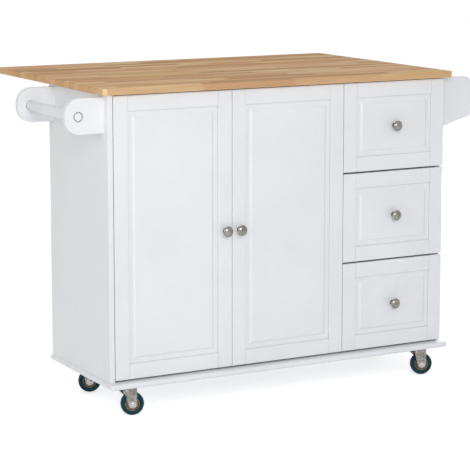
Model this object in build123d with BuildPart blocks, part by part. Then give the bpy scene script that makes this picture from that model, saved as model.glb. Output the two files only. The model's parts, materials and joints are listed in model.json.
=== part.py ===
# Kitchen cart with a wooden top and drop leaf, two doors, three drawers, side racks and casters.
from build123d import *
import math
import os

os.makedirs("parts", exist_ok=True)

# Body sizes, in millimetres
body_width = 1090.0  # over the two side panels
body_depth = 398.0  # from the door faces to the outside of the back panel
worktop_height = 920.0
board = 15.0  # thickness of every carcass board
edge_round = 1.0  # softened edges of the painted boards
joint_seam = 0.2  # hairline between boards that are glued to each other

# Worktop and drop leaf
worktop_thickness = 18.0
worktop_side_overhang = 20.0
worktop_front_overhang = 20.0
worktop_back_overhang = 41.5  # fixed top behind the back panel
leaf_depth = 302.5
leaf_seam = 1.0
worktop_corner_radius = 14.0
worktop_edge_radius = 3.0

# Base board
base_thickness = 15.0
base_front_overhang = 29.0
base_side_overhang = 8.0
base_back_overhang = 4.0
base_corner_radius = 9.0
base_edge_radius = 6.0

# Door and drawer fronts
front_thickness = 16.0
front_bottom_gap = 5.0
front_top_gap = 4.0
drawer_gap = 5.0
door_side_gap = 2.0
door_meeting_gap = 1.5
door_drawer_gap = 2.0
drawer_front_width = 343.3
drawer_side_reveal = 1.5
stile_width = 43.0
band_depth = 4.0  # how far the flat band lies behind the frame
band_width = 14.0
bevel_width = 6.0
field_rise = 3.0  # how far the raised field stands in front of the band
panel_thickness = 6.0
groove_depth = 3.0
carcass_setback = 8.0  # from the back of the doors to the partition, shelf and rails
side_setback = 2.0  # from the back of the drawer fronts to the right side panel

# Inner carcass
top_rail_depth = 60.0
shelf_height = 500.0  # underside of the shelf above the floor
shelf_side_gap = 1.0
shelf_front_setback = 10.0
shelf_pin_radius = 2.5
shelf_pin_sink = 8.0
shelf_pin_reach = 8.0
shelf_pin_inset = 50.0
shelf_hole_pitch = 64.0
hole_clearance = 0.1

# Door hinges
hinge_end_distance = 120.0
hinge_pin_inset = 12.0  # from the edge of the door
hinge_pin_depth = 7.0  # behind the front face
hinge_pin_radius = 1.5
hinge_fit = 0.05
cup_edge_wall = 4.0
cup_depth = 12.0
cup_wall = 1.2
cup_clearance = 0.2
lug_thickness = 3.0
lug_gap = 0.5
knuckle_wall = 1.5
arm_height = 9.0
arm_notch_clearance = 1.5
arm_swing_clearance = 1.0
arm_bar = 6.0
arm_plate_length = 46.0
arm_plate_height = 40.0
arm_plate_thickness = 2.0

# Drawer boxes and runners
drawer_board = 12.0
drawer_bottom_thickness = 5.0
drawer_bottom_groove = 5.0
drawer_bottom_lift = 10.0
drawer_back_gap = 27.0  # from the box to the back panel
drawer_box_drop = 74.5  # upper edge of the box below the upper edge of the front
drawer_box_lift = 35.0  # above the lower edge of the front
runner_gap = 12.7  # between the box and the cabinet on each side
runner_height = 35.0
runner_metal_thickness = 1.2
runner_back_gap = 16.0  # from the cabinet runners to the back panel
runner_lift = 60.0  # runner centre above the underside of the box
runner_slide_gap = 0.3
runner_side_gap = 0.5
runner_tip_gap = 2.0
runner_start = 3.0  # behind the front edge of the carcass

# Knobs
knob_radius = 15.0
knob_length = 26.0
knob_foot_radius = 7.5
knob_foot_thickness = 2.0
knob_neck_radius = 5.0
knob_neck_start = 5.0
knob_neck_end = 11.0
knob_rim_start = 17.5
knob_rim_end = 20.5
knob_screw_radius = 1.8
knob_screw_depth = 10.0
knob_screw_end_gap = 2.0
knob_screw_head_radius = 4.0
knob_screw_head_height = 2.5
knob_height = 504.0  # door knobs above the floor

# Leaf hinges
leaf_hinge_spacing = 440.0
leaf_hinge_width = 70.0
leaf_hinge_plate_depth = 33.0  # under the leaf
leaf_hinge_wall_gap = 5.5  # from the plate under the top to the back panel
leaf_hinge_plate_thickness = 1.5
leaf_knuckle_radius = 3.0
leaf_knuckle_gap = 0.3
leaf_knuckle_end_gap = 0.4
leaf_plate_gap = 0.5
leaf_pin_radius = 1.5
leaf_pin_fit = 0.05

# Folding leaf brackets
bracket_spacing = 660.0
bracket_pivot_drop = 110.0  # brace pivot below the leaf hinge
bracket_pivot_out = 12.0  # brace pivot behind the back panel
brace_end_distance = 90.0  # brace end from the leaf hinge, with the leaf raised
brace_width = 12.0
brace_thickness = 6.0
brace_web_gap = 0.3
brace_pin_radius = 2.5
brace_pin_fit = 0.05
channel_metal_thickness = 1.5
channel_side_gap = 1.0
leaf_channel_depth = 12.0
leaf_channel_start = 20.0
leaf_channel_back_gap = 18.0  # from the channel to the back edge of the leaf
wall_channel_depth = 18.0
wall_channel_top_gap = 8.0
wall_channel_tail = 20.0

# Towel rack
rack_projection = 113.0
rack_board = 18.0
towel_bracket_height = 98.0
towel_bracket_top_gap = 8.0
towel_bracket_front_inset = 25.0
towel_bracket_rear_inset = 25.0
towel_bracket_radius = 44.0
towel_rail_out = 74.0
towel_rail_lift = 48.0  # above the lower edge of the brackets
towel_rail_radius = 14.0
towel_rail_fit = 0.3

# Spice rack
spice_top_gap = 5.0
spice_inner_height = 148.0
spice_outer_height = 116.0
spice_corner_radius = 18.0
spice_front_inset = 25.0
spice_rear_inset = 25.0
spice_floor_lift = 3.0  # floor board above the outer lower corner of the ends
spice_floor_thickness = 12.0
spice_rail_height = 55.0
spice_rail_thickness = 12.0
spice_rail_inset = 2.0

# Casters
caster_side_inset = 62.5
caster_end_inset = 55.0
caster_plate_length = 56.0
caster_plate_depth = 48.0
caster_plate_thickness = 2.5
caster_screw_spacing_x = 44.0
caster_screw_spacing_y = 36.0
caster_turn = -20.0  # degrees about the swivel, as the casters stand
wheel_radius = 33.0
wheel_trail = 27.0
tyre_width = 22.0
tyre_thickness = 12.5
tyre_edge_radius = 4.0
hub_width = 19.0
hub_boss_radius = 9.0
hub_side_gap = 0.3
tyre_seat_gap = 0.1
axle_radius = 4.0
axle_fit = 0.05
axle_head_radius = 7.0
axle_head_height = 4.0
leg_inner_half = 14.0  # from the wheel's middle plane to the inside of a fork leg
leg_thickness = 2.5
leg_boss_radius = 12.5
leg_knee_height = 7.0  # straight part of the leg above the axle
crown_thickness = 3.0
crown_drop = 10.0  # top of the fork crown below the base board
crown_wheel_gap = 15.0
crown_front = 16.0
crown_corner_radius = 11.0
race_radius = 16.0
swivel_gap = 0.3
king_pin_radius = 4.0
king_pin_fit = 0.05
rivet_radius = 7.0
rivet_height = 2.5

# Brake pedals on the front casters
pedal_pivot_out = 10.0  # pivot from the swivel axis, on the trailing side
pedal_pivot_drop = 8.5  # pivot below the fork crown
pedal_barrel_radius = 3.5
pedal_pin_radius = 1.5
pedal_pin_fit = 0.05
pedal_plate_thickness = 3.5
pedal_length = 25.1
pedal_slope = 44.2  # degrees
pedal_shoe_gap = 3.5  # from the tyre to the middle of the plate
pedal_shoe_angle = 50.8  # degrees around the axle
pedal_width = 20.0
pedal_side_gap = 0.5

# Screws
screw_radius = 2.0
screw_head_radius = 4.0
screw_head_height = 2.2
rack_screw_length = 40.0
rack_screw_spacing = 56.0
caster_screw_length = 14.0

# Places that follow from the sizes
half_width = body_width / 2
left_face = -half_width
right_face = half_width
fixed_top_depth = worktop_front_overhang + body_depth + worktop_back_overhang
worktop_reach = fixed_top_depth + leaf_seam + leaf_depth
total_depth = base_front_overhang + worktop_reach - worktop_front_overhang
front_face = base_front_overhang - total_depth / 2
front_rear = front_face + front_thickness
back_face = front_face + body_depth
back_inner = back_face - board
worktop_front = front_face - worktop_front_overhang
fixed_top_back = worktop_front + fixed_top_depth
leaf_front = fixed_top_back + leaf_seam
leaf_back = leaf_front + leaf_depth
worktop_bottom = worktop_height - worktop_thickness
crown_bottom = 2 * wheel_radius + crown_wheel_gap
crown_top = crown_bottom + crown_thickness
caster_height = crown_top + crown_drop
base_top = caster_height + base_thickness
carcass_height = (base_top, worktop_bottom)
carcass_front = front_rear + carcass_setback
left_inner = left_face + board
right_inner = right_face - board

front_bottom = base_top + front_bottom_gap
front_top = worktop_bottom - front_top_gap
door_height = front_top - front_bottom
drawer_front_height = (door_height - 2 * drawer_gap) / 3
drawer_pitch = drawer_front_height + drawer_gap
drawer_front_left = right_face - drawer_side_reveal - drawer_front_width
left_door_left = left_inner + door_side_gap
right_door_right = drawer_front_left - door_drawer_gap
door_width = (right_door_right - left_door_left - door_meeting_gap) / 2
right_door_left = right_door_right - door_width
partition_centre = drawer_front_left - door_drawer_gap / 2
partition_left = partition_centre - board / 2
partition_right = partition_centre + board / 2
drawer_names = ("bottom_drawer", "middle_drawer", "top_drawer")
drawer_bottoms = tuple(front_bottom + level * drawer_pitch for level in range(len(drawer_names)))


# The two ends of a stretch, from its middle and half its length
def span(middle, half):
    return (middle - half, middle + half)


# A box between two values on each axis, in the part that is being built
def block(x, y, z, mode=Mode.ADD):
    with Locations(((x[0] + x[1]) / 2, (y[0] + y[1]) / 2, (z[0] + z[1]) / 2)):
        Box(x[1] - x[0], y[1] - y[0], z[1] - z[0], mode=mode)


# Round bars along each axis
def bar_x(radius, x, y, z, mode=Mode.ADD):
    with Locations(((x[0] + x[1]) / 2, y, z)):
        Cylinder(radius, x[1] - x[0], rotation=(0, 90, 0), mode=mode)


def bar_y(radius, x, y, z, mode=Mode.ADD):
    with Locations((x, (y[0] + y[1]) / 2, z)):
        Cylinder(radius, y[1] - y[0], rotation=(90, 0, 0), mode=mode)


def bar_z(radius, x, y, z, mode=Mode.ADD):
    with Locations((x, y, (z[0] + z[1]) / 2)):
        Cylinder(radius, z[1] - z[0], mode=mode)


# An upright plane across the cart at a given depth, seen from the front
def upright_plane(y):
    return Plane.XZ.offset(-y)


def save(builder, name):
    builder.part.label = name
    export_step(builder.part, f"parts/{name}.step")


# A piece of a caster, turned about its swivel axis to the way the caster stands
def save_turned(builder, name, x, y):
    turned = builder.part.rotate(Axis((x, y, 0), (0, 0, 1)), caster_turn)
    turned.label = name
    export_step(turned, f"parts/{name}.step")


# Places of the racks, needed by the screw holes in the side panels
towel_top = worktop_bottom - towel_bracket_top_gap
towel_middle = towel_top - towel_bracket_height / 2
towel_front_y = span(front_face + towel_bracket_front_inset + rack_board / 2, rack_board / 2)
towel_rear_y = span(back_face - towel_bracket_rear_inset - rack_board / 2, rack_board / 2)
spice_top = worktop_bottom - spice_top_gap
spice_middle = spice_top - spice_outer_height / 2
spice_front_y = span(front_face + spice_front_inset + rack_board / 2, rack_board / 2)
spice_rear_y = span(back_face - spice_rear_inset - rack_board / 2, rack_board / 2)


# Depth and height of the two screws that hold a rack board
def rack_screw_places(board_y, middle):
    depth = (board_y[0] + board_y[1]) / 2
    return [(depth, z) for z in span(middle, rack_screw_spacing / 2)]


towel_screws = rack_screw_places(towel_front_y, towel_middle) + rack_screw_places(towel_rear_y, towel_middle)
spice_screws = rack_screw_places(spice_front_y, spice_middle) + rack_screw_places(spice_rear_y, spice_middle)
screw_hole_radius = screw_radius + hole_clearance
left_screw_x = (left_inner - rack_screw_length, left_inner)
right_screw_x = (right_inner, right_inner + rack_screw_length)

# Places of the shelf pins
shelf_pin_y = (carcass_front + shelf_pin_inset, back_inner - shelf_pin_inset)
shelf_pin_z = shelf_height - shelf_pin_radius
shelf_hole_z = tuple(shelf_pin_z + step * shelf_hole_pitch for step in (-1, 0, 1))
shelf_hole_radius = shelf_pin_radius + hole_clearance


# Left side panel: its front edge shows beside the left door
with BuildPart() as left_side_panel:
    block((left_face, left_inner), (front_face, back_inner), carcass_height)
    fillet(left_side_panel.edges().filter_by(Axis.Z).group_by(Axis.Y)[0], edge_round)
    for y, z in towel_screws:
        bar_x(screw_hole_radius, (left_face, left_inner), y, z, Mode.SUBTRACT)
    for y in shelf_pin_y:
        for z in shelf_hole_z:
            bar_x(shelf_hole_radius, (left_inner - shelf_pin_sink, left_inner), y, z, Mode.SUBTRACT)
save(left_side_panel, "left_side_panel")

# Right side panel: the drawer fronts cover its front edge
with BuildPart() as right_side_panel:
    block((right_inner, right_face), (front_rear + side_setback, back_inner), carcass_height)
    for y, z in spice_screws:
        bar_x(screw_hole_radius, (right_inner, right_face), y, z, Mode.SUBTRACT)
save(right_side_panel, "right_side_panel")

# Partition between the cupboard and the drawers
with BuildPart() as partition_panel:
    block((partition_left, partition_right), (carcass_front, back_inner), carcass_height)
    for y in shelf_pin_y:
        for z in shelf_hole_z:
            bar_x(shelf_hole_radius, (partition_left, partition_left + shelf_pin_sink), y, z, Mode.SUBTRACT)
save(partition_panel, "partition_panel")

# Back panel across the full width
with BuildPart() as back_panel:
    block((left_face, right_face), (back_inner, back_face), carcass_height)
    fillet(back_panel.edges().filter_by(Axis.Z).group_by(Axis.Y)[-1], edge_round)
save(back_panel, "back_panel")

# Rails under the worktop, at the front and back of the cupboard and of the drawer bay
with BuildPart() as top_rails:
    rail_height = (worktop_bottom - board, worktop_bottom)
    for x in ((left_inner, partition_left), (partition_right, right_inner)):
        block(x, (carcass_front, carcass_front + top_rail_depth), rail_height)
        block(x, (back_inner - top_rail_depth, back_inner), rail_height)
save(top_rails, "top_rails")

# Shelf and its four pins
with BuildPart() as shelf:
    block(
        (left_inner + shelf_side_gap, partition_left - shelf_side_gap),
        (carcass_front + shelf_front_setback, back_inner - shelf_side_gap),
        (shelf_height, shelf_height + board),
    )
    fillet(shelf.edges().filter_by(Axis.X).group_by(Axis.Y)[0], edge_round)
save(shelf, "shelf")

with BuildPart() as shelf_pins:
    left_pin_x = (left_inner - shelf_pin_sink, left_inner + shelf_pin_reach)
    right_pin_x = (partition_left - shelf_pin_reach, partition_left + shelf_pin_sink)
    for y in shelf_pin_y:
        bar_x(shelf_pin_radius, left_pin_x, y, shelf_pin_z)
        bar_x(shelf_pin_radius, right_pin_x, y, shelf_pin_z)
save(shelf_pins, "shelf_pins")

# Places of the casters: name, swivel axis, and whether it has a brake
caster_left = left_face + caster_side_inset
caster_right = right_face - caster_side_inset
caster_front = front_face + caster_end_inset
caster_back = back_face - caster_end_inset
casters = (
    ("front_left", caster_left, caster_front, True),
    ("front_right", caster_right, caster_front, True),
    ("rear_left", caster_left, caster_back, False),
    ("rear_right", caster_right, caster_back, False),
)
caster_screws = [
    (screw_x, screw_y)
    for name, x, y, braked in casters
    for screw_x in span(x, caster_screw_spacing_x / 2)
    for screw_y in span(y, caster_screw_spacing_y / 2)
]
plate_bottom = caster_height - caster_plate_thickness
screw_tip = plate_bottom + caster_screw_length

# Base board with rounded edges; it is the floor of the cupboard too
with BuildPart() as base_board:
    block(
        (left_face - base_side_overhang, right_face + base_side_overhang),
        (front_face - base_front_overhang, back_face + base_back_overhang),
        (caster_height, base_top),
    )
    fillet(base_board.edges().filter_by(Axis.Z), base_corner_radius)
    rims = base_board.faces().filter_by(Axis.Z).edges()
    fillet(rims, min(base_edge_radius, base_thickness / 2 - edge_round))
    for x, y in caster_screws:
        bar_z(screw_hole_radius, x, y, (caster_height, screw_tip), Mode.SUBTRACT)
save(base_board, "base_board")

# Fixed worktop
worktop_x = (left_face - worktop_side_overhang, right_face + worktop_side_overhang)
worktop_z = (worktop_bottom, worktop_height)
with BuildPart() as worktop:
    block(worktop_x, (worktop_front, fixed_top_back), worktop_z)
    fillet(worktop.edges().filter_by(Axis.Z).group_by(Axis.Y)[0], worktop_corner_radius)
    rims = worktop.faces().filter_by(Axis.Z).edges()
    fillet(rims - rims.filter_by(Axis.X).group_by(Axis.Y)[-1], worktop_edge_radius)
save(worktop, "worktop")

# Drop leaf behind it
with BuildPart() as drop_leaf:
    block(worktop_x, (leaf_front, leaf_back), worktop_z)
    fillet(drop_leaf.edges().filter_by(Axis.Z).group_by(Axis.Y)[-1], worktop_corner_radius)
    rims = drop_leaf.faces().filter_by(Axis.Z).edges()
    fillet(rims - rims.filter_by(Axis.X).group_by(Axis.Y)[0], worktop_edge_radius)
save(drop_leaf, "drop_leaf")

# Leaf hinges: plates under the top and the leaf, with knuckles on one pin
leaf_axis_y = fixed_top_back + leaf_seam / 2
leaf_axis_z = worktop_bottom - leaf_knuckle_radius - leaf_knuckle_gap
leaf_hinge_x = (-leaf_hinge_spacing, 0.0, leaf_hinge_spacing)
leaf_plate_z = (worktop_bottom - leaf_hinge_plate_thickness, worktop_bottom)
leaf_plate_reach = leaf_knuckle_radius + leaf_plate_gap
middle_knuckle = leaf_hinge_width / 4
end_knuckle = middle_knuckle + leaf_knuckle_end_gap
leaf_bore = leaf_pin_radius + leaf_pin_fit
knuckle_neck_z = (leaf_plate_z[0], leaf_axis_z + leaf_knuckle_radius)

with BuildPart() as leaf_hinge_top_plates:
    for x in leaf_hinge_x:
        plate_x = span(x, leaf_hinge_width / 2)
        plate_edge = leaf_axis_y - leaf_plate_reach
        block(plate_x, (back_face + leaf_hinge_wall_gap, plate_edge), leaf_plate_z)
        for knuckle_x in ((plate_x[0], x - end_knuckle), (x + end_knuckle, plate_x[1])):
            block(knuckle_x, (plate_edge, leaf_axis_y), knuckle_neck_z)
            bar_x(leaf_knuckle_radius, knuckle_x, leaf_axis_y, leaf_axis_z)
        bar_x(leaf_bore, plate_x, leaf_axis_y, leaf_axis_z, Mode.SUBTRACT)
save(leaf_hinge_top_plates, "leaf_hinge_top_plates")

with BuildPart() as leaf_hinge_leaf_plates:
    for x in leaf_hinge_x:
        plate_x = span(x, leaf_hinge_width / 2)
        knuckle_x = span(x, middle_knuckle)
        plate_edge = leaf_axis_y + leaf_plate_reach
        block(plate_x, (plate_edge, plate_edge + leaf_hinge_plate_depth), leaf_plate_z)
        block(knuckle_x, (leaf_axis_y, plate_edge), knuckle_neck_z)
        bar_x(leaf_knuckle_radius, knuckle_x, leaf_axis_y, leaf_axis_z)
        bar_x(leaf_bore, plate_x, leaf_axis_y, leaf_axis_z, Mode.SUBTRACT)
save(leaf_hinge_leaf_plates, "leaf_hinge_leaf_plates")

with BuildPart() as leaf_hinge_pins:
    for x in leaf_hinge_x:
        bar_x(leaf_pin_radius, span(x, leaf_hinge_width / 2), leaf_axis_y, leaf_axis_z)
save(leaf_hinge_pins, "leaf_hinge_pins")

# Folding brackets: a channel on the back panel, a channel under the leaf and a brace between them
bracket_x = {"left": -bracket_spacing / 2, "right": bracket_spacing / 2}
channel_inner_half = brace_thickness / 2 + channel_side_gap
channel_outer_half = channel_inner_half + channel_metal_thickness
brace_pivot_y = back_face + bracket_pivot_out
brace_pivot_z = leaf_axis_z - bracket_pivot_drop
brace_end_y = leaf_axis_y + brace_end_distance
brace_end_z = worktop_bottom - channel_metal_thickness - brace_web_gap - brace_width / 2
brace_length = math.hypot(brace_end_y - brace_pivot_y, brace_end_z - brace_pivot_z)
brace_angle = math.degrees(math.atan2(brace_end_z - brace_pivot_z, brace_end_y - brace_pivot_y))

with BuildPart() as bracket_wall_arms:
    wall_z = (brace_pivot_z - wall_channel_tail, worktop_bottom - wall_channel_top_gap)
    for x in bracket_x.values():
        wall_y = (back_face, back_face + wall_channel_depth)
        hollow_y = (back_face + channel_metal_thickness, back_face + wall_channel_depth)
        block(span(x, channel_outer_half), wall_y, wall_z)
        block(span(x, channel_inner_half), hollow_y, wall_z, Mode.SUBTRACT)
        bar_x(brace_pin_radius, span(x, channel_outer_half), brace_pivot_y, brace_pivot_z)
save(bracket_wall_arms, "bracket_wall_arms")

with BuildPart() as bracket_leaf_arms:
    arm_y = (leaf_axis_y + leaf_channel_start, leaf_back - leaf_channel_back_gap)
    arm_z = (worktop_bottom - leaf_channel_depth, worktop_bottom)
    for x in bracket_x.values():
        block(span(x, channel_outer_half), arm_y, arm_z)
        hollow_z = (arm_z[0], worktop_bottom - channel_metal_thickness)
        block(span(x, channel_inner_half), arm_y, hollow_z, Mode.SUBTRACT)
save(bracket_leaf_arms, "bracket_leaf_arms")

brace_middle = ((brace_pivot_y + brace_end_y) / 2, (brace_pivot_z + brace_end_z) / 2)
for side, x in bracket_x.items():
    with BuildPart() as brace:
        with BuildSketch(Plane.YZ.offset(x)):
            with Locations(Location((brace_middle[0], brace_middle[1], 0), (0, 0, brace_angle))):
                SlotCenterToCenter(brace_length, brace_width)
        extrude(amount=brace_thickness / 2, both=True)
        brace_bore = brace_pin_radius + brace_pin_fit
        bar_x(brace_bore, span(x, brace_thickness / 2), brace_pivot_y, brace_pivot_z, Mode.SUBTRACT)
    save(brace, f"{side}_bracket_brace")

# How far a brace turns while the leaf drops a quarter turn
hang_out = brace_end_z - leaf_axis_z - (brace_pivot_y - leaf_axis_y)
hang_down = math.sqrt(brace_length**2 - hang_out**2)
brace_turn = brace_angle + math.degrees(math.atan2(hang_down, hang_out))
print("brace turn for a quarter turn of the leaf", round(brace_turn, 4), "ratio", round(brace_turn / 90, 5))

# Door hinge places, shared by the doors, the cups and the arms
hinge_z = (front_bottom + hinge_end_distance, front_top - hinge_end_distance)
hinge_y = front_face + hinge_pin_depth
cup_bore_radius = stile_width / 2 - cup_edge_wall
cup_radius = cup_bore_radius - cup_clearance
cup_front = front_rear - cup_depth
knuckle_radius = hinge_pin_radius + knuckle_wall
notch_front = hinge_y - knuckle_radius - lug_gap
hinge_sides = {
    "left": (left_door_left, 1, left_inner),
    "right": (right_door_right, -1, partition_left),
}


# Frame of two stiles and two rails around a raised panel, with a knob hole and bores for hinge cups
def framed_front(left, bottom, width, height, knob_place, hinge_edge=None):
    right = left + width
    top = bottom + height
    depth = (front_face, front_rear)
    inner_x = (left + stile_width, right - stile_width)
    inner_z = (bottom + stile_width, top - stile_width)
    band = front_face + band_depth
    tuck = groove_depth - joint_seam
    with BuildPart() as front:
        for x in ((left, inner_x[0]), (inner_x[1], right)):
            block(x, depth, (bottom, top))
        for z in ((bottom, inner_z[0]), (inner_z[1], top)):
            block((inner_x[0] + joint_seam, inner_x[1] - joint_seam), depth, z)
        fillet(front.edges().group_by(Axis.Y)[0], edge_round)
        block(
            (inner_x[0] - groove_depth, inner_x[1] + groove_depth),
            (band - joint_seam, band + panel_thickness + joint_seam),
            (inner_z[0] - groove_depth, inner_z[1] + groove_depth),
            Mode.SUBTRACT,
        )
        block(
            (inner_x[0] - tuck, inner_x[1] + tuck),
            (band, band + panel_thickness),
            (inner_z[0] - tuck, inner_z[1] + tuck),
        )
        middle = ((left + right) / 2, (bottom + top) / 2)
        with BuildSketch(upright_plane(band)):
            with Locations(middle):
                Rectangle(inner_x[1] - inner_x[0] - 2 * band_width, inner_z[1] - inner_z[0] - 2 * band_width)
        with BuildSketch(upright_plane(band - field_rise)):
            with Locations(middle):
                inset = 2 * (band_width + bevel_width)
                Rectangle(inner_x[1] - inner_x[0] - inset, inner_z[1] - inner_z[0] - inset)
        loft()
        bar_y(knob_screw_radius + joint_seam, knob_place[0], depth, knob_place[1], Mode.SUBTRACT)
        if hinge_edge:
            edge, inward = hinge_edge
            centre = edge + inward * stile_width / 2
            for z in hinge_z:
                bar_y(cup_bore_radius, centre, (cup_front, front_rear), z, Mode.SUBTRACT)
                notch_z = span(z, arm_height / 2 + arm_notch_clearance)
                block(sorted((edge, centre)), (notch_front, front_rear), notch_z, Mode.SUBTRACT)
    return front


# Knob turned about its own axis, with the screw that holds it from behind
def turned_knob(x, z, seat):
    foot = (knob_foot_radius, -knob_foot_thickness)
    neck_start = (knob_neck_radius, -knob_neck_start)
    neck_end = (knob_neck_radius, -knob_neck_end)
    rim_start = (knob_radius, -knob_rim_start)
    rim_end = (knob_radius, -knob_rim_end)
    tip = (0, -knob_length)
    with BuildPart() as knob:
        with BuildSketch(Plane(origin=(x, front_face, z), x_dir=(1, 0, 0), z_dir=(0, 0, 1))):
            with BuildLine():
                Polyline((0, 0), (knob_foot_radius, 0), foot, neck_start, neck_end)
                TangentArc(neck_end, rim_start, tangent=(0, -1))
                Line(rim_start, rim_end)
                TangentArc(tip, rim_end, tangent=(1, 0))
                Line(tip, (0, 0))
            make_face()
        revolve(axis=Axis((x, front_face, z), (0, 1, 0)))
        bore_end = front_face - knob_screw_depth - knob_screw_end_gap
        bar_y(knob_screw_radius + joint_seam, x, (bore_end, front_face), z, Mode.SUBTRACT)
        head = seat + joint_seam
        bar_y(knob_screw_radius, x, (front_face - knob_screw_depth, head), z)
        bar_y(knob_screw_head_radius, x, (head, head + knob_screw_head_height), z)
    return knob


# Doors, with the knobs on the two stiles that meet
left_knob_x = left_door_left + door_width - stile_width / 2
right_knob_x = right_door_left + stile_width / 2
for side, left, knob_x in (("left", left_door_left, left_knob_x), ("right", right_door_left, right_knob_x)):
    hinge_edge = hinge_sides[side][:2]
    door = framed_front(left, front_bottom, door_width, door_height, (knob_x, knob_height), hinge_edge)
    save(door, f"{side}_door")
    save(turned_knob(knob_x, knob_height, front_rear), f"{side}_door_knob")

# Hinge cups sunk in the doors, with lugs for the hinge pin
lug_start = arm_height / 2 + lug_gap
lug_end = lug_start + lug_thickness
for side, (edge, inward, wall) in hinge_sides.items():
    with BuildPart() as hinge_cups:
        centre = edge + inward * stile_width / 2
        pin_x = edge + inward * hinge_pin_inset
        for z in hinge_z:
            bar_y(cup_radius, centre, (cup_front, front_rear), z)
            bar_y(cup_radius - cup_wall, centre, (cup_front + cup_wall, front_rear), z, Mode.SUBTRACT)
            notch_x = sorted((edge, pin_x + inward * (knuckle_radius + lug_gap)))
            block(notch_x, (cup_front, front_rear), span(z, lug_start), Mode.SUBTRACT)
            for lug_z in ((z - lug_end, z - lug_start), (z + lug_start, z + lug_end)):
                block(span(pin_x, knuckle_radius), (cup_front, hinge_y + knuckle_radius), lug_z)
            bar_z(hinge_pin_radius + hinge_fit, pin_x, hinge_y, span(z, lug_end), Mode.SUBTRACT)
    save(hinge_cups, f"{side}_hinge_cups")

# Hinge arms on the left side panel and the partition, each with its pin
door_corner = math.hypot(hinge_pin_inset, front_thickness - hinge_pin_depth)
arm_turn = hinge_y + door_corner + arm_swing_clearance
with BuildPart() as door_hinge_arms:
    for edge, inward, wall in hinge_sides.values():
        pin_x = edge + inward * hinge_pin_inset
        for z in hinge_z:
            arm_z = span(z, arm_height / 2)
            bar_z(knuckle_radius, pin_x, hinge_y, arm_z)
            block(span(pin_x, knuckle_radius), (hinge_y, arm_turn + arm_bar), arm_z)
            cross_x = sorted((wall, pin_x + inward * knuckle_radius))
            block(cross_x, (arm_turn, arm_turn + arm_bar), arm_z)
            plate_x = sorted((wall, wall + inward * arm_plate_thickness))
            block(plate_x, (arm_turn, arm_turn + arm_plate_length), span(z, arm_plate_height / 2))
            bar_z(hinge_pin_radius, pin_x, hinge_y, span(z, lug_end))
save(door_hinge_arms, "door_hinge_arms")

# Drawers: front, knob, box of four boards, and a runner on each side
box_left = partition_right + runner_gap
box_right = right_inner - runner_gap
box_y = (front_rear, back_inner - drawer_back_gap)
drawer_knob_x = drawer_front_left + drawer_front_width / 2
panel_rear = front_face + band_depth + panel_thickness
runner_y = (carcass_front + runner_start, back_inner - runner_back_gap)
drawer_runner_y = (runner_y[0] - carcass_setback, runner_y[1] - carcass_setback)
runner_half = runner_height / 2
flange_inner = runner_half - runner_metal_thickness
slide_half = flange_inner - runner_slide_gap

for name, bottom in zip(drawer_names, drawer_bottoms):
    knob_z = bottom + drawer_front_height / 2
    knob_place = (drawer_knob_x, knob_z)
    front = framed_front(drawer_front_left, bottom, drawer_front_width, drawer_front_height, knob_place)
    save(front, f"{name}_front")
    save(turned_knob(drawer_knob_x, knob_z, panel_rear), f"{name}_knob")

    with BuildPart() as box:
        box_bottom = bottom + drawer_box_lift
        box_top = bottom + drawer_front_height - drawer_box_drop
        floor_z = (box_bottom + drawer_bottom_lift, box_bottom + drawer_bottom_lift + drawer_bottom_thickness)
        side_inner = (box_left + drawer_board, box_right - drawer_board)
        block((box_left, side_inner[0]), box_y, (box_bottom, box_top))
        block((side_inner[1], box_right), box_y, (box_bottom, box_top))
        groove = drawer_bottom_groove
        block(
            (side_inner[0] - groove, side_inner[1] + groove),
            box_y,
            (floor_z[0] - joint_seam, floor_z[1] + joint_seam),
            Mode.SUBTRACT,
        )
        tuck = groove - joint_seam
        block((side_inner[0] - tuck, side_inner[1] + tuck), box_y, floor_z)
        block(
            (side_inner[0] + joint_seam, side_inner[1] - joint_seam),
            (box_y[1] - drawer_board, box_y[1]),
            (floor_z[1] + joint_seam, box_top),
        )
    save(box, f"{name}_box")

    with BuildPart() as runners:
        runner_z = box_bottom + runner_lift
        for wall, inward in ((box_left, -1), (box_right, 1)):
            reach = runner_gap - runner_metal_thickness - runner_tip_gap
            channel_x = sorted((wall, wall + inward * reach))
            hollow_x = sorted((wall + inward * runner_metal_thickness, wall + inward * runner_gap))
            block(channel_x, drawer_runner_y, span(runner_z, slide_half))
            hollow_z = span(runner_z, slide_half - runner_metal_thickness)
            block(hollow_x, drawer_runner_y, hollow_z, Mode.SUBTRACT)
    save(runners, f"{name}_runners")

with BuildPart() as cabinet_runners:
    for bottom in drawer_bottoms:
        runner_z = bottom + drawer_box_lift + runner_lift
        for wall, inward in ((partition_right, 1), (right_inner, -1)):
            reach = runner_gap - runner_metal_thickness - runner_side_gap
            channel_x = sorted((wall, wall + inward * reach))
            hollow_x = sorted((wall + inward * runner_metal_thickness, wall + inward * runner_gap))
            block(channel_x, runner_y, span(runner_z, runner_half))
            block(hollow_x, runner_y, span(runner_z, flange_inner), Mode.SUBTRACT)
save(cabinet_runners, "cabinet_runners")

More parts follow.
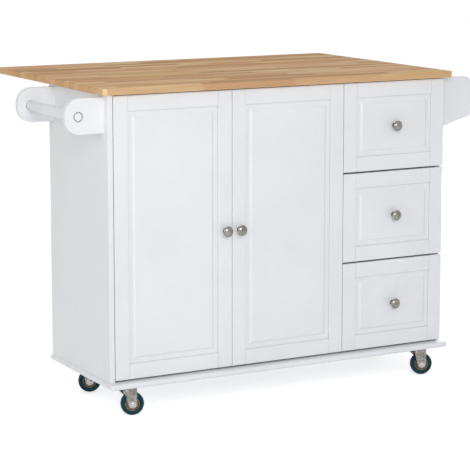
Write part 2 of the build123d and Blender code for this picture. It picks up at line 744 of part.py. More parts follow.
# Towel rack on the left: two rounded brackets and a rail through both
towel_rail_x = left_face - towel_rail_out
towel_rail_z = towel_top - towel_bracket_height + towel_rail_lift
for name, board_y in (("front", towel_front_y), ("rear", towel_rear_y)):
    with BuildPart() as towel_bracket:
        bracket_z = (towel_top - towel_bracket_height, towel_top)
        block((left_face - rack_projection, left_face), board_y, bracket_z)
        round_limit = towel_bracket_height / 2 - edge_round
        outer_corners = towel_bracket.edges().filter_by(Axis.Y).group_by(Axis.X)[0]
        fillet(outer_corners, min(towel_bracket_radius, round_limit))
        rims = towel_bracket.faces().filter_by(Axis.Y).edges()
        fillet(rims - rims.group_by(Axis.X)[-1], edge_round)
        bar_y(towel_rail_radius + towel_rail_fit, towel_rail_x, board_y, towel_rail_z, Mode.SUBTRACT)
        for y, z in rack_screw_places(board_y, towel_middle):
            bar_x(screw_hole_radius, left_screw_x, y, z, Mode.SUBTRACT)
    save(towel_bracket, f"towel_bracket_{name}")

with BuildPart() as towel_rail:
    bar_y(towel_rail_radius, towel_rail_x, (towel_front_y[0], towel_rear_y[1]), towel_rail_z)
    fillet(towel_rail.edges().filter_by(GeomType.CIRCLE), edge_round)
save(towel_rail, "towel_rail")

# Spice rack on the right: two end boards with sloping lower edges, a floor and an outer rail
spice_outer = right_face + rack_projection
spice_outer_bottom = spice_top - spice_outer_height
for name, board_y in (("front", spice_front_y), ("rear", spice_rear_y)):
    with BuildPart() as spice_end:
        with BuildSketch(upright_plane(board_y[0])):
            with BuildLine():
                Polyline(
                    (right_face, spice_top),
                    (spice_outer, spice_top),
                    (spice_outer, spice_outer_bottom),
                    (right_face, spice_top - spice_inner_height),
                    close=True,
                )
            make_face()
        extrude(amount=-rack_board)
        outer_corners = spice_end.edges().filter_by(Axis.Y).group_by(Axis.X)[-1]
        fillet(outer_corners.sort_by(Axis.Z)[-1], spice_corner_radius)
        rims = spice_end.faces().filter_by(Axis.Y).edges()
        fillet(rims - rims.group_by(Axis.X)[0], edge_round)
        for y, z in rack_screw_places(board_y, spice_middle):
            bar_x(screw_hole_radius, right_screw_x, y, z, Mode.SUBTRACT)
    save(spice_end, f"spice_rack_{name}_end")

spice_span = (spice_front_y[1], spice_rear_y[0])
spice_floor_z = spice_outer_bottom + spice_floor_lift
spice_floor_top = spice_floor_z + spice_floor_thickness
with BuildPart() as spice_rack_floor:
    block((right_face, spice_outer - spice_rail_inset), spice_span, (spice_floor_z, spice_floor_top))
save(spice_rack_floor, "spice_rack_floor")

with BuildPart() as spice_rack_rail:
    rail_outer = spice_outer - spice_rail_inset
    block(
        (rail_outer - spice_rail_thickness, rail_outer),
        spice_span,
        (spice_floor_top, spice_floor_top + spice_rail_height),
    )
    fillet(spice_rack_rail.edges().filter_by(Axis.Y).group_by(Axis.Z)[-1], edge_round)
save(spice_rack_rail, "spice_rack_rail")

# Caster plates with their race and king pin
rivet_top = crown_bottom - swivel_gap
with BuildPart() as caster_plates:
    for name, x, y, braked in casters:
        plate_y = span(y, caster_plate_depth / 2)
        block(span(x, caster_plate_length / 2), plate_y, (plate_bottom, caster_height))
        bar_z(race_radius, x, y, (crown_top + swivel_gap, plate_bottom))
        bar_z(king_pin_radius, x, y, (rivet_top, plate_bottom))
        bar_z(rivet_radius, x, y, (rivet_top - rivet_height, rivet_top))
    for x, y in caster_screws:
        bar_z(screw_hole_radius, x, y, (plate_bottom, caster_height), Mode.SUBTRACT)
save(caster_plates, "caster_plates")

leg_outer_half = leg_inner_half + leg_thickness
hub_radius = wheel_radius - tyre_thickness - tyre_seat_gap
boss_half = leg_inner_half - hub_side_gap
for name, x, y, braked in casters:
    axle_x = x + wheel_trail
    leg_front = axle_x - leg_boss_radius
    leg_back = axle_x + leg_boss_radius
    pedal_x = x + pedal_pivot_out
    pedal_z = crown_bottom - pedal_pivot_drop

    # Fork with two legs, its axle bolt, and the brake pin on the front casters
    with BuildPart() as fork:
        with BuildSketch(Plane.XY.offset(crown_bottom)) as crown:
            with Locations(((x - crown_front + leg_back) / 2, y)):
                Rectangle(leg_back - x + crown_front, 2 * leg_outer_half)
            fillet(crown.vertices().group_by(Axis.X)[0], crown_corner_radius)
        extrude(amount=crown_thickness)
        for leg_y in (y - leg_outer_half, y + leg_inner_half):
            with BuildSketch(upright_plane(leg_y)):
                with BuildLine():
                    Polyline((x, crown_bottom), (leg_back, crown_bottom), (leg_back, wheel_radius))
                    ThreePointArc(
                        (leg_back, wheel_radius),
                        (axle_x, wheel_radius - leg_boss_radius),
                        (leg_front, wheel_radius),
                    )
                    knee = (leg_front, wheel_radius + leg_knee_height)
                    Polyline((leg_front, wheel_radius), knee, (x, crown_bottom))
                make_face()
            extrude(amount=-leg_thickness)
        if braked:
            bar_y(pedal_pin_radius, pedal_x, span(y, leg_outer_half), pedal_z)
        bar_z(king_pin_radius + king_pin_fit, x, y, (crown_bottom, crown_top), Mode.SUBTRACT)
        axle_hole = axle_radius + joint_seam
        bar_y(axle_hole, axle_x, span(y, leg_outer_half), wheel_radius, Mode.SUBTRACT)
        head_start = leg_outer_half + joint_seam
        bar_y(axle_radius, axle_x, span(y, head_start), wheel_radius)
        for head_y in (y - head_start - axle_head_height, y + head_start):
            bar_y(axle_head_radius, axle_x, (head_y, head_y + axle_head_height), wheel_radius)
    save_turned(fork, f"caster_{name}_fork", x, y)

    # Wheel: a hub on the axle and a tyre around it
    with BuildPart() as hub:
        bar_y(hub_radius, axle_x, span(y, hub_width / 2), wheel_radius)
        bar_y(hub_boss_radius, axle_x, span(y, boss_half), wheel_radius)
        bar_y(axle_radius + axle_fit, axle_x, span(y, boss_half), wheel_radius, Mode.SUBTRACT)
    save_turned(hub, f"caster_{name}_hub", x, y)

    with BuildPart() as tyre:
        tyre_y = span(y, tyre_width / 2)
        bar_y(wheel_radius, axle_x, tyre_y, wheel_radius)
        fillet(tyre.edges().filter_by(GeomType.CIRCLE), tyre_edge_radius)
        bar_y(wheel_radius - tyre_thickness, axle_x, tyre_y, wheel_radius, Mode.SUBTRACT)
    save_turned(tyre, f"caster_{name}_tyre", x, y)

    # Brake pedal: a barrel on the pin, a foot tab outside and a shoe beside the tyre
    if braked:
        shoe_reach = wheel_radius + pedal_shoe_gap
        shoe_turn = math.radians(pedal_shoe_angle)
        slope = math.radians(pedal_slope)
        shoe = (axle_x - shoe_reach * math.cos(shoe_turn), wheel_radius + shoe_reach * math.sin(shoe_turn))
        tab = (shoe[0] - pedal_length * math.cos(slope), shoe[1] + pedal_length * math.sin(slope))
        plate_middle = ((tab[0] + shoe[0]) / 2, (tab[1] + shoe[1]) / 2)
        web_middle = ((pedal_x + plate_middle[0]) / 2, (pedal_z + plate_middle[1]) / 2)
        web_run = (pedal_x - plate_middle[0], pedal_z - plate_middle[1])
        web_angle = math.degrees(math.atan2(web_run[1], web_run[0]))
        with BuildPart() as pedal:
            with BuildSketch(upright_plane(y)):
                with Locations(Location((plate_middle[0], plate_middle[1], 0), (0, 0, -pedal_slope))):
                    Rectangle(pedal_length, pedal_plate_thickness)
                with Locations(Location((web_middle[0], web_middle[1], 0), (0, 0, web_angle))):
                    Rectangle(math.hypot(*web_run), pedal_plate_thickness)
            extrude(amount=pedal_width / 2, both=True)
            barrel_y = span(y, leg_inner_half - pedal_side_gap)
            bar_y(pedal_barrel_radius, pedal_x, barrel_y, pedal_z)
            bar_y(pedal_pin_radius + pedal_pin_fit, pedal_x, barrel_y, pedal_z, Mode.SUBTRACT)
        save_turned(pedal, f"caster_{name}_brake", x, y)

# Screws: four under each caster plate, and two from inside through the side panels into each rack board
with BuildPart() as screws:
    for x, y in caster_screws:
        bar_z(screw_radius, x, y, (plate_bottom, screw_tip))
        bar_z(screw_head_radius, x, y, (plate_bottom - screw_head_height, plate_bottom))
    for y, z in towel_screws:
        bar_x(screw_radius, left_screw_x, y, z)
        bar_x(screw_head_radius, (left_inner, left_inner + screw_head_height), y, z)
    for y, z in spice_screws:
        bar_x(screw_radius, right_screw_x, y, z)
        bar_x(screw_head_radius, (right_inner - screw_head_height, right_inner), y, z)
save(screws, "screws")
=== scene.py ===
import json
import math
import bpy
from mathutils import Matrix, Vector


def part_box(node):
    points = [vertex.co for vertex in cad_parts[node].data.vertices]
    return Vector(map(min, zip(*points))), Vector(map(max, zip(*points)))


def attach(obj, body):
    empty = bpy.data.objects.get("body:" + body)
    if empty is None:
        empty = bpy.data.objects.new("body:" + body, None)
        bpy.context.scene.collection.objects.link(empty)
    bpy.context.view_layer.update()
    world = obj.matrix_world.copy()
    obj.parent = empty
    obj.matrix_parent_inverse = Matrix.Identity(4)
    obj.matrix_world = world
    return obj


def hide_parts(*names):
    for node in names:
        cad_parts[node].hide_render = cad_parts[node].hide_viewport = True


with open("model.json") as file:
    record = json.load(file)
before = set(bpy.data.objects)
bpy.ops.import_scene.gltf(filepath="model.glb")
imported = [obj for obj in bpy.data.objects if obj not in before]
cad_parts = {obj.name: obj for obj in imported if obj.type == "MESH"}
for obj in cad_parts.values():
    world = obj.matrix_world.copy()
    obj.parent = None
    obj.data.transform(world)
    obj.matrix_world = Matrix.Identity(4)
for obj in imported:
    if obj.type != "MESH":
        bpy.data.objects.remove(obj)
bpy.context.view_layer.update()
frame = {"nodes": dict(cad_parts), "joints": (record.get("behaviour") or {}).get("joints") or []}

nodes = frame["nodes"]
scene = bpy.context.scene
scene.view_settings.view_transform = "Standard"
bpy.ops.object.select_all(action="DESELECT")  # the frame arrives selected
print("frame loaded:", len(nodes), "nodes")


# small helpers for the shader trees
def newFinish(name):
    finish = bpy.data.materials.new(name)
    finish.use_nodes = True
    return finish, finish.node_tree, finish.node_tree.nodes["Principled BSDF"]


def addNode(tree, kind, **settings):
    node = tree.nodes.new(kind)
    for key, value in settings.items():
        setattr(node, key, value)
    return node


def feed(tree, value, socket):  # a plain value, or another node's output
    if isinstance(value, (int, float, tuple)):
        socket.default_value = value
    else:
        tree.links.new(value, socket)


def objectCoords(tree, scale=(1, 1, 1), shift=(0, 0, 0)):
    coords = addNode(tree, "ShaderNodeTexCoord")
    mapping = addNode(tree, "ShaderNodeMapping")
    mapping.inputs["Scale"].default_value = scale
    mapping.inputs["Location"].default_value = shift
    tree.links.new(coords.outputs["Object"], mapping.inputs["Vector"])
    return mapping.outputs["Vector"]


def splitXyz(tree, vector):
    node = addNode(tree, "ShaderNodeSeparateXYZ")
    tree.links.new(vector, node.inputs["Vector"])
    return node.outputs


def noiseOn(tree, vector, scale, detail, roughness):
    noise = addNode(tree, "ShaderNodeTexNoise")
    noise.inputs["Scale"].default_value = scale
    noise.inputs["Detail"].default_value = detail
    noise.inputs["Roughness"].default_value = roughness
    tree.links.new(vector, noise.inputs["Vector"])
    return noise.outputs["Fac"]


def calc(tree, operation, *values):
    node = addNode(tree, "ShaderNodeMath", operation=operation)
    for socket, value in zip(node.inputs, values):
        feed(tree, value, socket)
    return node.outputs["Value"]


def vectorCalc(tree, operation, *values):
    node = addNode(tree, "ShaderNodeVectorMath", operation=operation)
    for socket, value in zip(node.inputs, values):
        feed(tree, value, socket)
    return node.outputs["Vector"]


def spread(tree, factor, low, high, fromLow=0.0, fromHigh=1.0):
    node = addNode(tree, "ShaderNodeMapRange")
    node.inputs["From Min"].default_value = fromLow
    node.inputs["From Max"].default_value = fromHigh
    node.inputs["To Min"].default_value = low
    node.inputs["To Max"].default_value = high
    tree.links.new(factor, node.inputs["Value"])
    return node.outputs["Result"]


def blendTones(tree, first, second, share):  # share of the first, the rest of the second
    return calc(tree, "MULTIPLY_ADD", first, share, calc(tree, "MULTIPLY", second, 1 - share))


def colourSteps(tree, factor, steps, interpolation="LINEAR"):
    ramp = addNode(tree, "ShaderNodeValToRGB")
    ramp.color_ramp.interpolation = interpolation
    while len(ramp.color_ramp.elements) < len(steps):
        ramp.color_ramp.elements.new(0.5)  # moved to its place below
    for element, (place, colour) in zip(ramp.color_ramp.elements, steps):
        element.position = place
        element.color = (*colour, 1)
    tree.links.new(factor, ramp.inputs["Fac"])
    return ramp.outputs["Color"]


def twoTone(tree, tone, look):
    darkPlace, lightPlace = look["tones"]
    return colourSteps(tree, tone, ((darkPlace, look["dark"]), (lightPlace, look["light"])))


def mixColour(tree, factor, first, second):
    mix = addNode(tree, "ShaderNodeMix", data_type="RGBA")
    first, second = ((*value, 1) if isinstance(value, tuple) else value for value in (first, second))
    for number, value in ((0, factor), (6, first), (7, second)):  # the node's sockets for colours
        feed(tree, value, mix.inputs[number])
    return mix.outputs[2]


# 1 in the open, falling towards 0 in the corners of the piece itself
def openness(tree, reach):
    corner = addNode(tree, "ShaderNodeAmbientOcclusion", only_local=True, samples=8)
    corner.inputs["Distance"].default_value = reach
    return corner.outputs["AO"]


# colour, gloss and relief of a finish
def coverWith(tree, shader, colour, tone, height, look):
    tree.links.new(colour, shader.inputs["Base Color"])
    tree.links.new(spread(tree, tone, *look["gloss"]), shader.inputs["Roughness"])
    bump = addNode(tree, "ShaderNodeBump")
    bump.inputs["Strength"].default_value, bump.inputs["Distance"].default_value = look["relief"]
    tree.links.new(height, bump.inputs["Height"])
    tree.links.new(bump.outputs["Normal"], shader.inputs["Normal"])


# In the looks below, a noise is (scale, detail, roughness), tones are where dark and light stand on it,
# gloss is the roughness at its low and high end, and relief is (strength, height in metres).

# sprayed satin lacquer on board: faint cloudiness, orange peel, and painted shade that greys the grooves and
# corners
paintLook = {
    "light": (0.800, 0.812, 0.834), "dark": (0.760, 0.774, 0.798), "tones": (0.36, 0.62),
    "cloud": (5.0, 4.0, 0.6), "fleck": (260.0, 2.0, 0.5), "fleckShare": 0.25, "gloss": (0.30, 0.42),
    # the groove colour, with its reach and range, sets the painted shade in the grooves and corners
    "groove": (0.560, 0.575, 0.605), "shadeReach": 0.005, "shadeRange": (0.35, 0.85),
    "peel": (620.0, 1.0, 0.5), "relief": (0.06, 0.0006),
}


def satinWhite(name, look):
    finish, tree, shader = newFinish(name)
    coords = objectCoords(tree)
    cloud = noiseOn(tree, coords, *look["cloud"])
    tone = blendTones(tree, noiseOn(tree, coords, *look["fleck"]), cloud, look["fleckShare"])
    # painted shade: the colour turns to the grey groove tone where the piece's own grooves and corners close
    # in
    grooveShade = spread(tree, openness(tree, look["shadeReach"]), 1.0, 0.0, *look["shadeRange"])
    colour = mixColour(tree, grooveShade, twoTone(tree, tone, look), look["groove"])
    coverWith(tree, shader, colour, cloud, noiseOn(tree, coords, *look["peel"]), look)
    return finish


# rubberwood staves glued edge to edge, each with its own tint and grain
staveLook = {
    "width": 0.0328, "length": 0.290, "rowJump": 7.3, "logJump": (40.0, 40.0, 40.0),
    "topShift": (1.93, 0.377, 0.0), "leafShift": (0.13, 1.5, 0.0),  # the top's staves start at its front edge
    "tints": (
        (0.00, (0.780, 0.480, 0.250)), (0.15, (0.560, 0.330, 0.170)), (0.29, (0.860, 0.640, 0.370)),
        (0.45, (0.740, 0.430, 0.210)), (0.58, (0.820, 0.550, 0.330)), (0.72, (0.870, 0.640, 0.320)),
        (0.87, (0.630, 0.390, 0.215)),
    ),
    "sanded": (0.950, 0.650, 0.380), "sandedShare": 0.45, "sandedGrain": 0.5, "sandedBelow": (0.9165, 0.9192),
    "endGrain": (0.480, 0.255, 0.120), "endShare": 0.42, "endsFrom": (0.5630, 0.5645),
    "streak": (0.560, 0.275, 0.105), "streakShare": 0.66, "streakRange": (0.34, 0.60),
    "streakStretch": (1.6, 34.0, 34.0), "streakNoise": (2.4, 5.0, 0.62), "streakRise": 0.5,
    "pore": (0.270, 0.135, 0.065), "poreShare": 0.30, "poreRange": (0.62, 0.74),
    "poreStretch": (24.0, 620.0, 620.0), "poreNoise": (1.6, 2.0, 0.5), "poreDip": 0.4,
    "glue": (0.330, 0.170, 0.085), "glueShare": 0.45, "glueLine": 0.0007, "glueDip": 0.6,
    "gloss": (0.66, 0.52), "specular": 0.05, "relief": (0.18, 0.0005),
}


def butcherBlock(name, look, shift):
    finish, tree, shader = newFinish(name)
    coords = objectCoords(tree, shift=shift)
    parts = splitXyz(tree, coords)
    across = calc(tree, "DIVIDE", parts["Y"], look["width"])
    row = calc(tree, "FLOOR", across)
    rowDice = addNode(tree, "ShaderNodeTexWhiteNoise", noise_dimensions="1D")
    tree.links.new(row, rowDice.inputs["W"])
    rowStart = calc(tree, "MULTIPLY", rowDice.outputs["Value"], look["rowJump"])
    along = calc(tree, "ADD", calc(tree, "DIVIDE", parts["X"], look["length"]), rowStart)
    stave = addNode(tree, "ShaderNodeCombineXYZ")
    tree.links.new(calc(tree, "FLOOR", along), stave.inputs["X"])
    tree.links.new(row, stave.inputs["Y"])
    dice = addNode(tree, "ShaderNodeTexWhiteNoise", noise_dimensions="2D")
    tree.links.new(stave.outputs["Vector"], dice.inputs["Vector"])
    tint = colourSteps(tree, dice.outputs["Value"], look["tints"], "CONSTANT")

    # the edges and the underside are sanded but not oiled, so they are paler
    bare = spread(tree, parts["Z"], look["sandedShare"], 0.0, *look["sandedBelow"])
    tint = mixColour(tree, bare, tint, look["sanded"])
    # the end grain drinks more oil and goes darker
    fromMiddle = calc(tree, "ABSOLUTE", splitXyz(tree, objectCoords(tree))["X"])
    soaked = spread(tree, fromMiddle, 0.0, look["endShare"], *look["endsFrom"])
    tint = mixColour(tree, soaked, tint, look["endGrain"])

    # long grain, moved to another place of the log in every stave
    jump = vectorCalc(tree, "MULTIPLY", dice.outputs["Color"], look["logJump"])
    logPlace = vectorCalc(tree, "ADD", coords, jump)
    drawn = vectorCalc(tree, "MULTIPLY", logPlace, look["streakStretch"])
    streak = noiseOn(tree, drawn, *look["streakNoise"])
    fine = vectorCalc(tree, "MULTIPLY", logPlace, look["poreStretch"])
    pores = spread(tree, noiseOn(tree, fine, *look["poreNoise"]), 0.0, 1.0, *look["poreRange"])
    # oil brings the grain out
    oiled = spread(tree, parts["Z"], look["sandedGrain"], 1.0, *look["sandedBelow"])
    darkened = spread(tree, streak, look["streakShare"], 0.0, *look["streakRange"])
    grained = mixColour(tree, calc(tree, "MULTIPLY", darkened, oiled), tint, look["streak"])
    pored = mixColour(tree, calc(tree, "MULTIPLY", pores, look["poreShare"]), grained, look["pore"])

    # hairline glue joints between the staves
    joints = [
        spread(tree, calc(tree, "PINGPONG", place, 0.5), 1.0, 0.0, 0.0, look["glueLine"] / size)
        for place, size in ((across, look["width"]), (along, look["length"]))
    ]
    glue = calc(tree, "MAXIMUM", *joints)
    glued = mixColour(tree, calc(tree, "MULTIPLY", glue, look["glueShare"]), pored, look["glue"])
    height = calc(tree, "MULTIPLY", streak, look["streakRise"])
    for dip, depth in ((glue, look["glueDip"]), (pores, look["poreDip"])):
        height = calc(tree, "SUBTRACT", height, calc(tree, "MULTIPLY", dip, depth))
    shader.inputs["Specular IOR Level"].default_value = look["specular"]  # oiled, not varnished
    coverWith(tree, shader, glued, streak, height, look)
    return finish


# white laminate of the drawer boxes, with a faint printed fibre
boxLook = {
    "light": (0.74, 0.735, 0.715), "dark": (0.66, 0.655, 0.635), "tones": (0.34, 0.62),
    "stretch": (90, 6, 90), "fibre": (1.8, 4.0, 0.6), "gloss": (0.52, 0.40), "relief": (0.05, 0.0004),
}


def drawerLaminate(name, look):
    finish, tree, shader = newFinish(name)
    fibre = noiseOn(tree, objectCoords(tree, look["stretch"]), *look["fibre"])
    coverWith(tree, shader, twoTone(tree, fibre, look), fibre, fibre, look)
    return finish


# brushed nickel of the knobs: turning marks round the axis, and painted shade, near black, on the neck and
# behind the head
nickelLook = {
    "light": (0.36, 0.348, 0.325), "dark": (0.10, 0.096, 0.088), "tones": (0.32, 0.64),
    "ringStretch": (60, 2600, 60), "ringNoise": (1.0, 3.0, 0.6), "ringShare": 0.6, "stain": (130.0, 3.0, 0.5),
    # the next line's colour, reach and range are for the painted shade on the neck and behind the head
    "neckShade": (0.018, 0.017, 0.016), "neckShadeReach": 0.020, "neckShadeRange": (0.72, 0.97),
    "gloss": (0.24, 0.11), "relief": (0.05, 0.0002),
}


def brushedNickel(name, look):
    finish, tree, shader = newFinish(name)
    shader.inputs["Metallic"].default_value = 1.0
    rings = noiseOn(tree, objectCoords(tree, look["ringStretch"]), *look["ringNoise"])
    stain = noiseOn(tree, objectCoords(tree), *look["stain"])
    tone = blendTones(tree, rings, stain, look["ringShare"])
    # painted shade: the colour goes near black where the knob's neck and the back of its head close in
    behind = spread(tree, openness(tree, look["neckShadeReach"]), 1.0, 0.0, *look["neckShadeRange"])
    colour = mixColour(tree, behind, twoTone(tree, tone, look), look["neckShade"])
    coverWith(tree, shader, colour, tone, rings, look)
    return finish


# galvanised sheet with its crystal spangle: bright fittings, duller caster forks, polished axle caps
sheetLook = {"tones": (0.25, 0.72), "haze": (45.0, 4.0, 0.6), "crystalShare": 0.35, "relief": (0.06, 0.0003)}
zincLook = {
    **sheetLook, "light": (0.50, 0.495, 0.480), "dark": (0.35, 0.346, 0.334),
    "spangle": 130.0, "gloss": (0.50, 0.32),
}
forkLook = {
    **sheetLook, "light": (0.36, 0.345, 0.315), "dark": (0.12, 0.115, 0.105),
    "spangle": 240.0, "gloss": (0.50, 0.28),
}
capLook = {
    **sheetLook, "light": (0.53, 0.54, 0.56), "dark": (0.31, 0.31, 0.32),
    "spangle": 420.0, "gloss": (0.22, 0.10),
}


def zincSheet(name, look):
    finish, tree, shader = newFinish(name)
    shader.inputs["Metallic"].default_value = 1.0
    coords = objectCoords(tree)
    crystals = addNode(tree, "ShaderNodeTexVoronoi")
    crystals.inputs["Scale"].default_value = look["spangle"]
    tree.links.new(coords, crystals.inputs["Vector"])
    shade = addNode(tree, "ShaderNodeSeparateColor")
    tree.links.new(crystals.outputs["Color"], shade.inputs["Color"])
    haze = noiseOn(tree, coords, *look["haze"])
    tone = blendTones(tree, shade.outputs["Red"], haze, look["crystalShare"])
    coverWith(tree, shader, twoTone(tree, tone, look), tone, haze, look)
    return finish


# blue-green rubber of the tyres, dusty in patches
treadLook = {
    "dark": (0.002, 0.019, 0.030), "light": (0.015, 0.074, 0.094), "tones": (0.34, 0.66),
    "patch": (70.0, 5.0, 0.65), "speck": (1400.0, 2.0, 0.5), "speckShare": 0.3,
    "gloss": (0.24, 0.44), "specular": 0.10, "relief": (0.10, 0.0004),
}


def tealTread(name, look):
    finish, tree, shader = newFinish(name)
    coords = objectCoords(tree)
    speck = noiseOn(tree, coords, *look["speck"])
    tone = blendTones(tree, speck, noiseOn(tree, coords, *look["patch"]), look["speckShare"])
    shader.inputs["Specular IOR Level"].default_value = look["specular"]
    coverWith(tree, shader, twoTone(tree, tone, look), tone, speck, look)
    return finish


# amber moulded plastic of the wheel centres
hubLook = {
    "light": (0.320, 0.222, 0.096), "dark": (0.085, 0.054, 0.024), "tones": (0.30, 0.68),
    "mottle": (110.0, 4.0, 0.6), "grit": (900.0, 1.0, 0.5), "gloss": (0.24, 0.40), "coat": 0.25,
    "relief": (0.05, 0.0003),
}

# black moulded lever of the brakes
leverLook = {
    "light": (0.024, 0.024, 0.026), "dark": (0.008, 0.008, 0.009), "tones": (0.30, 0.70),
    "mottle": (60.0, 4.0, 0.5), "grit": (1100.0, 2.0, 0.5), "gloss": (0.34, 0.55), "coat": 0.0,
    "relief": (0.14, 0.0004),
}


def mouldedPlastic(name, look):
    finish, tree, shader = newFinish(name)
    coords = objectCoords(tree)
    mottle = noiseOn(tree, coords, *look["mottle"])
    shader.inputs["Coat Weight"].default_value = look["coat"]
    grit = noiseOn(tree, coords, *look["grit"])
    coverWith(tree, shader, twoTone(tree, mottle, look), mottle, grit, look)
    return finish


whitePaint = satinWhite("whitePaint", paintLook)
topStaves = butcherBlock("topStaves", staveLook, staveLook["topShift"])
leafStaves = butcherBlock("leafStaves", staveLook, staveLook["leafShift"])
boxBoard = drawerLaminate("boxBoard", boxLook)
knobNickel = brushedNickel("knobNickel", nickelLook)
zinc = zincSheet("zinc", zincLook)
forkZinc = zincSheet("forkZinc", forkLook)
capSteel = zincSheet("capSteel", capLook)
tread = tealTread("tread", treadLook)
hubAmber = mouldedPlastic("hubAmber", hubLook)
leverBlack = mouldedPlastic("leverBlack", leverLook)
print("finishes ready")

# the CAD pieces that keep their shape, by finish
drawers = ("bottom_drawer", "middle_drawer", "top_drawer")
casters = ("front_left", "front_right", "rear_left", "rear_right")
painted = [
    "left_side_panel", "right_side_panel", "partition_panel", "back_panel", "base_board", "top_rails",
    "shelf", "left_door", "right_door", "towel_bracket_front", "towel_bracket_rear",
    "spice_rack_front_end", "spice_rack_rear_end", "spice_rack_floor", "spice_rack_rail",
] + [drawer + "_front" for drawer in drawers]
metalPieces = [
    "shelf_pins", "left_hinge_cups", "right_hinge_cups", "door_hinge_arms", "cabinet_runners",
    "leaf_hinge_top_plates", "leaf_hinge_leaf_plates", "leaf_hinge_pins", "bracket_wall_arms",
    "bracket_leaf_arms", "left_bracket_brace", "right_bracket_brace", "caster_plates", "screws",
] + [drawer + "_runners" for drawer in drawers]
keptFinish = [
    (whitePaint, painted), (topStaves, ["worktop"]), (leafStaves, ["drop_leaf"]), (zinc, metalPieces),
    (boxBoard, [drawer + "_box" for drawer in drawers]),
]
for finish, names in keptFinish:
    for name in names:
        for slot in nodes[name].material_slots:
            slot.material = finish
print("CAD pieces dressed")


# selecting points, edges or faces in edit mode
def pick(piece, kind, test):
    bpy.ops.object.mode_set(mode="EDIT")
    bpy.ops.mesh.select_mode(type=kind)
    bpy.ops.mesh.select_all(action="DESELECT")
    bpy.ops.object.mode_set(mode="OBJECT")
    mesh = piece.data
    for item in {"VERT": mesh.vertices, "EDGE": mesh.edges, "FACE": mesh.polygons}[kind]:
        item.select = test(item)
    bpy.ops.object.mode_set(mode="EDIT")


def looksTo(face, way, closeness=0.9):
    return face.normal.dot(Vector(way)) > closeness


def pickAll():
    bpy.ops.object.mode_set(mode="EDIT")
    bpy.ops.mesh.select_mode(type="VERT")
    bpy.ops.mesh.select_all(action="SELECT")


def faceOutwards():
    bpy.ops.mesh.select_all(action="SELECT")
    bpy.ops.mesh.normals_make_consistent(inside=False)
    bpy.ops.object.mode_set(mode="OBJECT")


def extrude(move):
    bpy.ops.mesh.extrude_region_move(TRANSFORM_OT_translate={"value": move})


def applyModifier(piece, kind, **settings):
    modifier = piece.modifiers.new(kind.title(), kind)
    for key, value in settings.items():
        setattr(modifier, key, value)
    bpy.context.view_layer.objects.active = piece
    bpy.ops.object.modifier_apply(modifier=modifier.name)


def cutOrUnite(piece, other, operation):
    applyModifier(piece, "BOOLEAN", operation=operation, solver="EXACT", object=other)
    bpy.data.objects.remove(other)


def easeEdges(piece, width, sharperThan=40):
    applyModifier(
        piece, "BEVEL", width=width, segments=2, limit_method="ANGLE", angle_limit=math.radians(sharperThan))


def settle(piece):  # its place goes into the mesh
    bpy.ops.object.select_all(action="DESELECT")
    piece.select_set(True)
    bpy.context.view_layer.objects.active = piece
    bpy.ops.object.transform_apply(location=True, rotation=True, scale=True)


def putAt(piece, place, turn=(0, 0, 0)):
    piece.location = place
    piece.rotation_euler = turn
    settle(piece)


def joinPieces(first, others):
    bpy.ops.object.select_all(action="DESELECT")
    for piece in (first, *others):
        piece.select_set(True)
    bpy.context.view_layer.objects.active = first
    bpy.ops.object.join()


def copyTo(piece, name, place, turn=(0, 0, 0)):
    twin = piece.copy()
    twin.data = piece.data.copy()
    twin.name = name
    scene.collection.objects.link(twin)
    putAt(twin, place, turn)
    return twin


def paint(piece, finish):
    piece.data.materials.clear()
    piece.data.materials.append(finish)


def smooth(piece, angle):
    settle(piece)
    bpy.ops.object.shade_smooth_by_angle(angle=math.radians(angle))


def block(name, size, place=(0, 0, 0), turn=(0, 0, 0)):
    bpy.ops.mesh.primitive_cube_add(size=1, location=place, rotation=turn, scale=size)
    piece = bpy.context.object
    piece.name = name
    settle(piece)
    return piece


# a ring drawn out step by step along Y, as on a lathe: (radius, place along the axis)
def turned(name, profile, segments, ring=False, weld=0.00001):
    radius, place = profile[0]
    bpy.ops.mesh.primitive_circle_add(
        vertices=segments, radius=radius, location=(0, place, 0), rotation=(math.pi / 2, 0, 0))
    piece = bpy.context.object
    piece.name = name
    settle(piece)
    pickAll()
    for nextRadius, nextPlace in profile[1:]:
        extrude((0, nextPlace - place, 0))
        ratio = nextRadius / radius
        bpy.ops.transform.resize(value=(ratio, 1, ratio), center_override=(0, nextPlace, 0))
        radius, place = nextRadius, nextPlace
    bpy.ops.mesh.select_all(action="SELECT")
    bpy.ops.mesh.remove_doubles(threshold=weld)
    if not ring:
        bpy.ops.mesh.select_all(action="SELECT")
        bpy.ops.mesh.fill_holes(sides=0)
    faceOutwards()
    return piece


def mirrored(half, ends=0.0):  # a profile and its far half, ends being where the two ends add up to
    return half + tuple((radius, ends - place) for radius, place in reversed(half))


# knobs: flared foot, waisted neck and a mushroom head with a bead at its rim
knobShape = {
    "segments": 56, "height": 0.026, "smooth": 40,
    "profile": (
        (0.0060, 0.0), (0.0074, 0.0), (0.0075, -0.0004), (0.0075, -0.0016), (0.0072, -0.0020),
        (0.0058, -0.0029), (0.0050, -0.0046), (0.0049, -0.0080), (0.0051, -0.0108), (0.0060, -0.0134),
        (0.0080, -0.0154), (0.0108, -0.0167), (0.0136, -0.0175), (0.0146, -0.0180), (0.0150, -0.0188),
        (0.0149, -0.0197), (0.0143, -0.0203), (0.0141, -0.0206), (0.0134, -0.0215), (0.0117, -0.0230),
        (0.0092, -0.0244), (0.0062, -0.0254), (0.0031, -0.0259), (0.0010, -0.02598),
    ),
}
knob = turned("knob", knobShape["profile"], knobShape["segments"])
paint(knob, knobNickel)
knobBodies = {"left_door_knob": "left_door_leaf", "right_door_knob": "right_door_leaf"}
knobBodies.update({drawer + "_knob": drawer for drawer in drawers})
